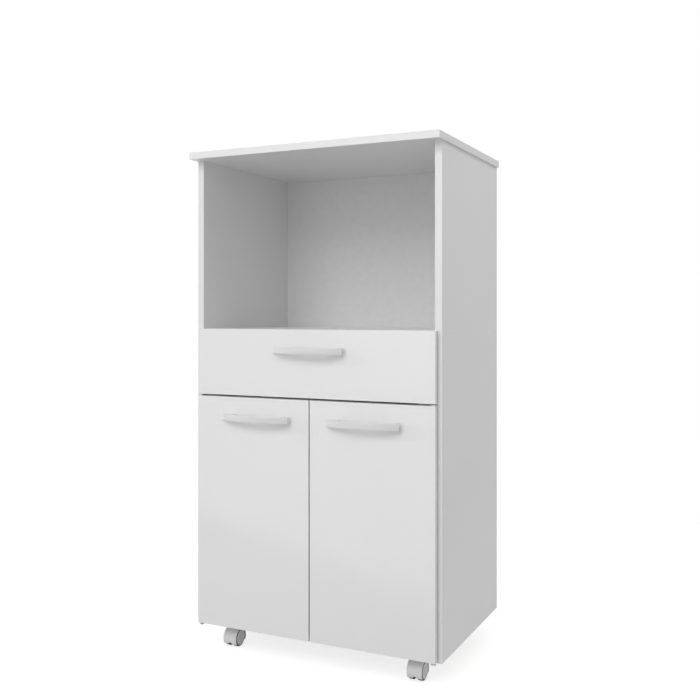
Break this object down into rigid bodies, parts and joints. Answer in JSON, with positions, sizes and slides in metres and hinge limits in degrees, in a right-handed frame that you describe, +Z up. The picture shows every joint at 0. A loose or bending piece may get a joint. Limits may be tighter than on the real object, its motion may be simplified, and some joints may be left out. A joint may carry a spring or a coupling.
{
  "type": "microwave cart",
  "caption": "Tall cart with an open appliance niche, a drawer on roller runners, a cupboard with swinging doors and a loose shelf, and hooded twin-wheel castors.",
  "frame": {"origin": "on the floor, at the middle of the whole part's footprint, under the castor wheels", "axes": "+X to the right and +Y to the back as seen from the front, +Z up"},
  "size_m": [0.6, 0.431, 1.127],
  "materials": {
    "white_board": "white laminated board, semi-gloss",
    "front_board": "white laminated board, glossy",
    "back_board": "white painted hardboard, matt",
    "handle_plastic": "moulded, satin light grey",
    "dowel_wood": "raw beech",
    "steel": "zinc plated",
    "zinc": "cast zinc",
    "white_steel": "white powder coat",
    "nylon": "natural nylon",
    "catch_plastic": "moulded, matt white",
    "hood_plastic": "moulded, satin grey",
    "wheel_plastic": "moulded, satin grey"
  },
  "bodies": {
    "cabinet": {"top_board": "white_board", "left_side_panel": "white_board", "right_side_panel": "white_board", "niche_shelf": "white_board", "bottom_board": "white_board", "divider_rail": "white_board", "loose_shelf": "white_board", "shelf_pins": "steel", "niche_back_panel": "back_board", "cupboard_back_panel": "back_board", "panel_screws": "steel", "panel_dowels": "dowel_wood", "cam_fittings": "zinc", "back_nails": "steel", "fitting_screws": "steel", "left_cabinet_runner": "white_steel", "right_cabinet_runner": "white_steel", "left_pivot_brackets": "white_steel", "right_pivot_brackets": "white_steel", "magnetic_catch": "catch_plastic", "castor_plates": "steel"},
    "front_rollers": {"front_rollers": "nylon"},
    "drawer": {"drawer_front": "front_board", "drawer_left_side": "white_board", "drawer_right_side": "white_board", "drawer_back": "white_board", "drawer_bottom": "back_board", "drawer_handle": "handle_plastic", "left_drawer_runner": "white_steel", "right_drawer_runner": "white_steel", "drawer_cam_fittings": "zinc", "drawer_screws": "steel"},
    "rear_rollers": {"rear_rollers": "nylon"},
    "left_door": {"left_door_panel": "front_board", "left_door_handle": "handle_plastic", "left_door_bushes": "nylon", "left_strike_plate": "steel", "left_door_screws": "steel"},
    "right_door": {"right_door_panel": "front_board", "right_door_handle": "handle_plastic", "right_door_bushes": "nylon", "right_strike_plate": "steel", "right_door_screws": "steel"},
    "front_left_castor": {"front_left_hood": "hood_plastic", "front_left_pins": "steel"},
    "front_left_inner_wheel": {"front_left_inner_wheel": "wheel_plastic"},
    "front_left_outer_wheel": {"front_left_outer_wheel": "wheel_plastic"},
    "front_right_castor": {"front_right_hood": "hood_plastic", "front_right_pins": "steel"},
    "front_right_inner_wheel": {"front_right_inner_wheel": "wheel_plastic"},
    "front_right_outer_wheel": {"front_right_outer_wheel": "wheel_plastic"},
    "rear_left_castor": {"rear_left_hood": "hood_plastic", "rear_left_pins": "steel"},
    "rear_left_inner_wheel": {"rear_left_inner_wheel": "wheel_plastic"},
    "rear_left_outer_wheel": {"rear_left_outer_wheel": "wheel_plastic"},
    "rear_right_castor": {"rear_right_hood": "hood_plastic", "rear_right_pins": "steel"},
    "rear_right_inner_wheel": {"rear_right_inner_wheel": "wheel_plastic"},
    "rear_right_outer_wheel": {"rear_right_outer_wheel": "wheel_plastic"}
  },
  "joints": [
    {"name": "drawer_slide", "type": "slide", "parent": "cabinet", "child": "drawer", "axis": [0, -1, 0], "range_m": [0, 0.275]},
    {"name": "front_rollers_turn", "type": "hinge", "parent": "cabinet", "child": "front_rollers", "pos_m": [0, -0.1445, 0.61], "axis": [1, 0, 0], "range_deg": [0, 1854]},
    {"name": "rear_rollers_turn", "type": "hinge", "parent": "drawer", "child": "rear_rollers", "pos_m": [0, 0.1495, 0.6094], "axis": [1, 0, 0], "range_deg": [0, 1854]},
    {"name": "left_door_swing", "type": "hinge", "parent": "cabinet", "child": "left_door", "pos_m": [-0.28087, -0.1825, 0.3193], "axis": [0, 0, -1], "range_deg": [0, 110]},
    {"name": "right_door_swing", "type": "hinge", "parent": "cabinet", "child": "right_door", "pos_m": [0.28087, -0.1825, 0.3193], "axis": [0, 0, 1], "range_deg": [0, 110]},
    {"name": "front_left_swivel", "type": "hinge", "parent": "cabinet", "child": "front_left_castor", "pos_m": [-0.2255, -0.1145, 0.0505], "axis": [0, 0, 1], "continuous": true},
    {"name": "front_left_inner_roll", "type": "hinge", "parent": "front_left_castor", "child": "front_left_inner_wheel", "pos_m": [-0.2146, -0.1295, 0.02], "axis": [1, 0, 0], "continuous": true},
    {"name": "front_left_outer_roll", "type": "hinge", "parent": "front_left_castor", "child": "front_left_outer_wheel", "pos_m": [-0.2364, -0.1295, 0.02], "axis": [1, 0, 0], "continuous": true},
    {"name": "front_right_swivel", "type": "hinge", "parent": "cabinet", "child": "front_right_castor", "pos_m": [0.2255, -0.1145, 0.0505], "axis": [0, 0, 1], "continuous": true},
    {"name": "front_right_inner_roll", "type": "hinge", "parent": "front_right_castor", "child": "front_right_inner_wheel", "pos_m": [0.2146, -0.1295, 0.02], "axis": [1, 0, 0], "continuous": true},
    {"name": "front_right_outer_roll", "type": "hinge", "parent": "front_right_castor", "child": "front_right_outer_wheel", "pos_m": [0.2364, -0.1295, 0.02], "axis": [1, 0, 0], "continuous": true},
    {"name": "rear_left_swivel", "type": "hinge", "parent": "cabinet", "child": "rear_left_castor", "pos_m": [-0.2255, 0.1525, 0.0505], "axis": [0, 0, 1], "continuous": true},
    {"name": "rear_left_inner_roll", "type": "hinge", "parent": "rear_left_castor", "child": "rear_left_inner_wheel", "pos_m": [-0.2146, 0.1375, 0.02], "axis": [1, 0, 0], "continuous": true},
    {"name": "rear_left_outer_roll", "type": "hinge", "parent": "rear_left_castor", "child": "rear_left_outer_wheel", "pos_m": [-0.2364, 0.1375, 0.02], "axis": [1, 0, 0], "continuous": true},
    {"name": "rear_right_swivel", "type": "hinge", "parent": "cabinet", "child": "rear_right_castor", "pos_m": [0.2255, 0.1525, 0.0505], "axis": [0, 0, 1], "continuous": true},
    {"name": "rear_right_inner_roll", "type": "hinge", "parent": "rear_right_castor", "child": "rear_right_inner_wheel", "pos_m": [0.2146, 0.1375, 0.02], "axis": [1, 0, 0], "continuous": true},
    {"name": "rear_right_outer_roll", "type": "hinge", "parent": "rear_right_castor", "child": "rear_right_outer_wheel", "pos_m": [0.2364, 0.1375, 0.02], "axis": [1, 0, 0], "continuous": true}
  ],
  "couplings": [
    {"joint": "front_rollers_turn", "follows": "drawer_slide", "rad_per_m": 117.65},
    {"joint": "rear_rollers_turn", "follows": "drawer_slide", "rad_per_m": 117.65}
  ]
}
